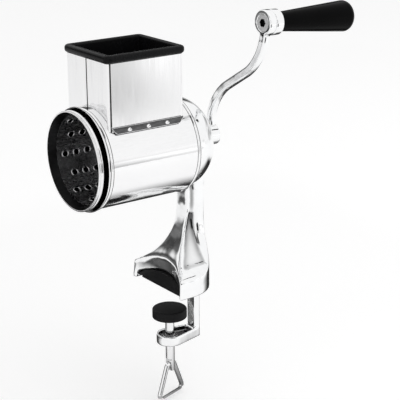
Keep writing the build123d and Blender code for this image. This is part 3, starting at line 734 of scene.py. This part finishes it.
# Shaft, nuts, screws and the clamp's own metal: turned or bent steel with bright plating. The drum and
# the crank are clamped on the shaft's squares, and the bail hangs in the clamp screw's eye.
plated_greys = [(0.90, 0.90, 0.905), (0.83, 0.83, 0.835)]
plated_steel = finish("plated_steel", plated_greys, 1.0, (0.06, 0.16), 460, relief=0.05)
coat(plated_steel, "drum_nut", "crank_shaft", "crank_screw", "handle_sleeve", "handle_nut")
coat(plated_steel, "clamp_pad_plate", "clamp_screw", "swivel_clip", "clamp_bail")

# Crank arm: an S-shaped casting with a hub on the shaft's square and a boss for the handle, polished
# and plated as the stand is.
arm = copy_of("crank_arm", "crank_cast")
arm_grain = 0.45 * mm
soften_casting(arm, arm_grain, 8)
# Painted shade: the arm's chrome turns dark in its hollows, as the stand's does.
note_shaded_hollows(arm, 12, shaded_hollow_depth)
dress(arm, cast_chrome, "crank", "cast_chrome", "crank_arm")

# Handle: a satin steel bolt with a hexagon socket goes through the arm's boss. A bright ferrule and a
# tapered black grip spin together on its sleeve. The handle leans with the arm, so its pieces are
# turned along X and then leaned about the crank's hub.
crank_middle = 42.7 * mm
crank_lean = math.radians(4.8)
handle_cant = math.radians(-2.5)
crank_offset = -59.5 * mm
crank_rise = 99.0 * mm
handle_place = (
    Matrix.Translation((crank_middle, 0, axis_z))
    @ Matrix.Rotation(crank_lean, 4, "Y")
    @ Matrix.Translation((0, crank_offset, crank_rise))
    @ Matrix.Rotation(handle_cant, 4, "Y")
)
bolt_greys = [(0.93, 0.93, 0.935), (0.87, 0.87, 0.875)]
bolt_satin = finish("bolt_satin", bolt_greys, 1.0, (0.38, 0.48), 460, relief=0.05)
bolt = copy_of("handle_bolt", "handle_bolt_bright")
bpy.ops.object.shade_smooth_by_angle(angle=math.radians(30))
dress(bolt, bolt_satin, "crank", "bolt_steel", "handle_bolt")
# Painted shade: the hexagon socket's faces get the near-black crease finish, for the shade inside the recess.
bolt.data.materials.append(crease_shade)
socket_radius = 3.5 * mm
head_front = -2.95 * mm
socket_floor = head_front + 2.2 * mm
to_handle = handle_place.inverted()
for face in bolt.data.polygons:
    along, across, up = to_handle @ face.center
    sunk = head_front + 0.05 * mm < along < socket_floor + 0.1 * mm
    if sunk and math.hypot(across, up) < socket_radius:
        face.material_index = 1
ferrule_front = 3.55 * mm
ferrule_rear = ferrule_front + 7.3 * mm
ferrule_radius = 10.0 * mm
bore = 5.25 * mm
slack = 0.05 * mm
spigot = 6.8 * mm
spigot_front = ferrule_rear - 5.0 * mm
ferrule_corners = [
    (ferrule_front, bore, 0),
    (ferrule_front, ferrule_radius, 1.5 * mm),
    (ferrule_rear, ferrule_radius, 1.2 * mm),
    (ferrule_rear, spigot + slack, 0),
    (spigot_front, spigot + slack, 0),
    (spigot_front, bore, 0),
]
ferrule = turned("ferrule", rounded_outline(ferrule_corners), handle_place)
dress(ferrule, cast_chrome, "grip", "cast_chrome", "handle_ferrule")
grip_end = ferrule_rear + 72.0 * mm
grip_small = 7.3 * mm
grip_large = 12.8 * mm
pocket = 7.6 * mm
pocket_front = grip_end - 10.1 * mm
grip_corners = [
    (spigot_front, bore, 0),
    (spigot_front, spigot, 0),
    (ferrule_rear, spigot, 0),
    (ferrule_rear, grip_small, 0.5 * mm),
    (grip_end, grip_large, 5.5 * mm),
    (grip_end, pocket, 0.3 * mm),
    (pocket_front, pocket, 0),
    (pocket_front, bore, 0),
]
grip_blacks = [(0.0015, 0.0015, 0.0016), (0.003, 0.003, 0.0032)]
grip_plastic = finish("grip_plastic", grip_blacks, 0.0, (0.14, 0.24), 620, relief=0.06, gloss=0.04)
grip = turned("grip", rounded_outline(grip_corners, 10), handle_place)
dress(grip, grip_plastic, "grip", "grip_plastic", "handle_grip")
cap_front = grip_end - 3.0 * mm
cap_corners = [
    (cap_front, 0, 0),
    (cap_front, pocket - slack, 0),
    (grip_end, pocket - slack, 0.7 * mm),
    (grip_end, 0, 0),
]
end_cap = turned("end_cap", rounded_outline(cap_corners), handle_place, 96)
dress(end_cap, grip_plastic, "grip", "grip_plastic", "grip_end_cap")

# Clamp cap: a moulded cap of black rubber, pushed over the steel plate that swivels on the screw's tip.
# It grips the table's underside without marking it, and has room inside for the plate's clip.
upright = Matrix.Rotation(-math.pi / 2, 4, "Y")
cap_low, cap_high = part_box("clamp_pad_cap")
plate_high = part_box("clamp_pad_plate")[1]
clip_room = 5.6 * mm
clip_top = plate_high.z + 1.9 * mm
clamp_corners = [
    (cap_high.z, 0, 0),
    (cap_high.z, cap_high.x, 1.3 * mm),
    (cap_low.z, cap_high.x, 0.9 * mm),
    (cap_low.z, plate_high.x, 0.3 * mm),
    (plate_high.z, plate_high.x, 0),
    (plate_high.z, clip_room, 0),
    (clip_top, clip_room, 0),
    (clip_top, 0, 0),
]
clamp_cap = turned("clamp_cap", rounded_outline(clamp_corners), upright)
dress(clamp_cap, rubber, "clamp_pad", "black_rubber", "clamp_pad_cap")

# Studio: a white floor just under the bail, a pale surround, a soft lamp above and dark cards that
# only mirrors see, which draw the dark lines in the chrome.
floor_z = solid_box[0].z - 0.3 * mm
bpy.ops.object.select_all(action="DESELECT")
bpy.ops.mesh.primitive_plane_add(size=6, location=(0, 0, floor_z))
floor = bpy.context.object
floor.name = "floor"


def white_for_eyes(tree, white):
    """A strength of white that camera, glossy and transmission rays see."""
    path = tree.nodes.new("ShaderNodeLightPath")
    first = tree.nodes.new("ShaderNodeMath")
    first.operation = "MAXIMUM"
    second = tree.nodes.new("ShaderNodeMath")
    second.operation = "MAXIMUM"
    strength = tree.nodes.new("ShaderNodeMath")
    strength.operation = "MULTIPLY"
    strength.inputs[1].default_value = white
    tree.links.new(path.outputs["Is Camera Ray"], first.inputs[0])
    tree.links.new(path.outputs["Is Glossy Ray"], first.inputs[1])
    tree.links.new(first.outputs["Value"], second.inputs[0])
    tree.links.new(path.outputs["Is Transmission Ray"], second.inputs[1])
    tree.links.new(second.outputs["Value"], strength.inputs[0])
    return strength.outputs["Value"]


paper = bpy.data.materials.new("paper_floor")
paper.use_nodes = True
tree = paper.node_tree
sheet = tree.nodes["Principled BSDF"]
sheet.inputs["Base Color"].default_value = (0.9, 0.9, 0.9, 1)
sheet.inputs["Roughness"].default_value = 0.9
sheet.inputs["Emission Color"].default_value = (1, 1, 1, 1)
tree.links.new(white_for_eyes(tree, 0.26), sheet.inputs["Emission Strength"])
floor.data.materials.append(paper)

world = bpy.data.worlds.new("studio")
bpy.context.scene.world = world
world.use_nodes = True
tree = world.node_tree
soft = tree.nodes["Background"]
soft.inputs["Color"].default_value = (1, 1, 1, 1)
soft.inputs["Strength"].default_value = 0.70
seen = tree.nodes.new("ShaderNodeBackground")
seen.inputs["Color"].default_value = (1, 1, 1, 1)
choice = tree.nodes.new("ShaderNodeMixShader")
tree.links.new(white_for_eyes(tree, 1.0), choice.inputs["Fac"])
tree.links.new(soft.outputs["Background"], choice.inputs[1])
tree.links.new(seen.outputs["Background"], choice.inputs[2])
tree.links.new(choice.outputs["Shader"], tree.nodes["World Output"].inputs["Surface"])

object_middle = (solid_box[0] + solid_box[1]) / 2


def card_paint(name, level):
    """A matt card of the given grey whose edges fade out, so that its reflection has soft edges."""
    material = bpy.data.materials.new(name)
    material.use_nodes = True
    tree = material.node_tree
    tree.nodes.remove(tree.nodes["Principled BSDF"])
    grey = tree.nodes.new("ShaderNodeEmission")
    grey.inputs["Color"].default_value = (level, level, level, 1)
    clear = tree.nodes.new("ShaderNodeBsdfTransparent")
    mix = tree.nodes.new("ShaderNodeMixShader")
    place = tree.nodes.new("ShaderNodeTexCoord")
    split = tree.nodes.new("ShaderNodeSeparateXYZ")
    both = tree.nodes.new("ShaderNodeMath")
    both.operation = "MULTIPLY"
    tree.links.new(place.outputs["Object"], split.inputs["Vector"])
    for index, axis in enumerate("XY"):
        size = tree.nodes.new("ShaderNodeMath")
        size.operation = "ABSOLUTE"
        fade = tree.nodes.new("ShaderNodeMapRange")
        fade.interpolation_type = "SMOOTHSTEP"
        fade.inputs["From Min"].default_value = 0.5
        fade.inputs["From Max"].default_value = 0.28
        tree.links.new(split.outputs[axis], size.inputs[0])
        tree.links.new(size.outputs["Value"], fade.inputs["Value"])
        tree.links.new(fade.outputs["Result"], both.inputs[index])
    mottle = tree.nodes.new("ShaderNodeTexNoise")
    mottle.inputs["Scale"].default_value = 3.0
    uneven = tree.nodes.new("ShaderNodeMapRange")
    uneven.inputs["From Min"].default_value = 0.35
    uneven.inputs["From Max"].default_value = 0.75
    uneven.inputs["To Min"].default_value = 0.6
    uneven.inputs["To Max"].default_value = 3.0
    tree.links.new(place.outputs["Object"], mottle.inputs["Vector"])
    tree.links.new(mottle.outputs["Fac"], uneven.inputs["Value"])
    tree.links.new(uneven.outputs["Result"], grey.inputs["Strength"])
    tree.links.new(both.outputs["Value"], mix.inputs["Fac"])
    tree.links.new(clear.outputs["BSDF"], mix.inputs[1])
    tree.links.new(grey.outputs["Emission"], mix.inputs[2])
    tree.links.new(mix.outputs["Shader"], tree.nodes["Material Output"].inputs["Surface"])
    return material


def dark_card(name, level, towards, distance, width, height, aim=None):
    """A card that faces the object from the given direction and is seen only in reflections."""
    way = Vector(towards).normalized()
    middle = Vector(aim) if aim else object_middle
    bpy.ops.object.select_all(action="DESELECT")
    bpy.ops.mesh.primitive_plane_add(size=1)
    card = bpy.context.object
    card.name = name
    card.data.materials.append(card_paint(name, level))
    card.matrix_world = (
        Matrix.Translation(middle + way * distance)
        @ way.to_track_quat("Z", "Y").to_matrix().to_4x4()
        @ Matrix.Diagonal((width, height, 1, 1))
    )
    card.visible_camera = False
    card.visible_diffuse = False
    card.visible_shadow = False
    card.visible_transmission = False


floor_gap = -floor_z - 5 * mm
dark_card("card_back_left", 0.07, (-0.60, 0.78, 0.19), 1.6, 1.7, 1.0)
dark_card("card_right", 0.40, (0.88, 0.46, 0.05), 1.5, 2.0, 0.60)
dark_card("card_camera", 0.10, (-0.56, -0.767, 0.33), 1.5, 0.6, 0.8)
dark_card("card_left_up", 0.10, (-0.74, -0.16, 0.62), 1.5, 0.8, 0.6)
dark_card("card_behind", 0.03, (0.56, 0.74, 0.38), 1.5, 0.9, 0.8)
dark_card("card_front", 0.01, (-0.06, -0.95, -0.30), 0.75, 0.80, 0.6, (-0.07, -0.03, 0.18))
dark_card("card_near", 0.68, (0.46, -0.82, -0.30), 1.0, 2.0, 1.0)
dark_card("card_under", 0.02, (0, 0, -1), floor_gap, 0.64, 0.70, (0.22, 0.24, 0))
dark_card("card_clamp", 0.03, (0, 0, -1), floor_gap, 0.34, 0.30, (0.08, 0.13, 0))
dark_card("card_leg", 0.05, (0, 0, -1), floor_gap, 0.52, 0.56, (-0.20, 0.29, 0))

lamp_data = bpy.data.lights.new("soft_box", "AREA")
lamp_data.shape = "RECTANGLE"
lamp_data.size = 2.4
lamp_data.size_y = 2.0
lamp_data.energy = 9
lamp = bpy.data.objects.new("soft_box", lamp_data)
bpy.context.scene.collection.objects.link(lamp)
lamp_way = Vector((0.35, -0.45, 0.82)).normalized()
lamp.location = object_middle + lamp_way * 1.8
lamp.visible_glossy = False
lamp.rotation_euler = lamp_way.to_track_quat("Z", "Y").to_euler()

# Camera: at the photograph's height and angle, a little above the hopper and to the near side of the
# drum's mouth, with a long lens and a slight roll.
camera_data = bpy.data.cameras.new("camera")
camera_data.lens = 112.71
camera_data.sensor_width = 36
camera = bpy.data.objects.new("camera", camera_data)
bpy.context.scene.collection.objects.link(camera)
behind = Vector((-0.5602, -0.7673, 0.3122)).normalized()
level = Vector((0.8077, -0.5896, 0)).normalized()
roll = math.radians(-0.38)
right = level * math.cos(roll) + behind.cross(level) * math.sin(roll)
camera_matrix = Matrix((right, behind.cross(right), behind)).transposed().to_4x4()
camera_matrix.translation = (-0.54437, -0.78952, 0.38974)
camera.matrix_world = camera_matrix
bpy.context.scene.camera = camera
bpy.context.scene.view_settings.view_transform = "Standard"
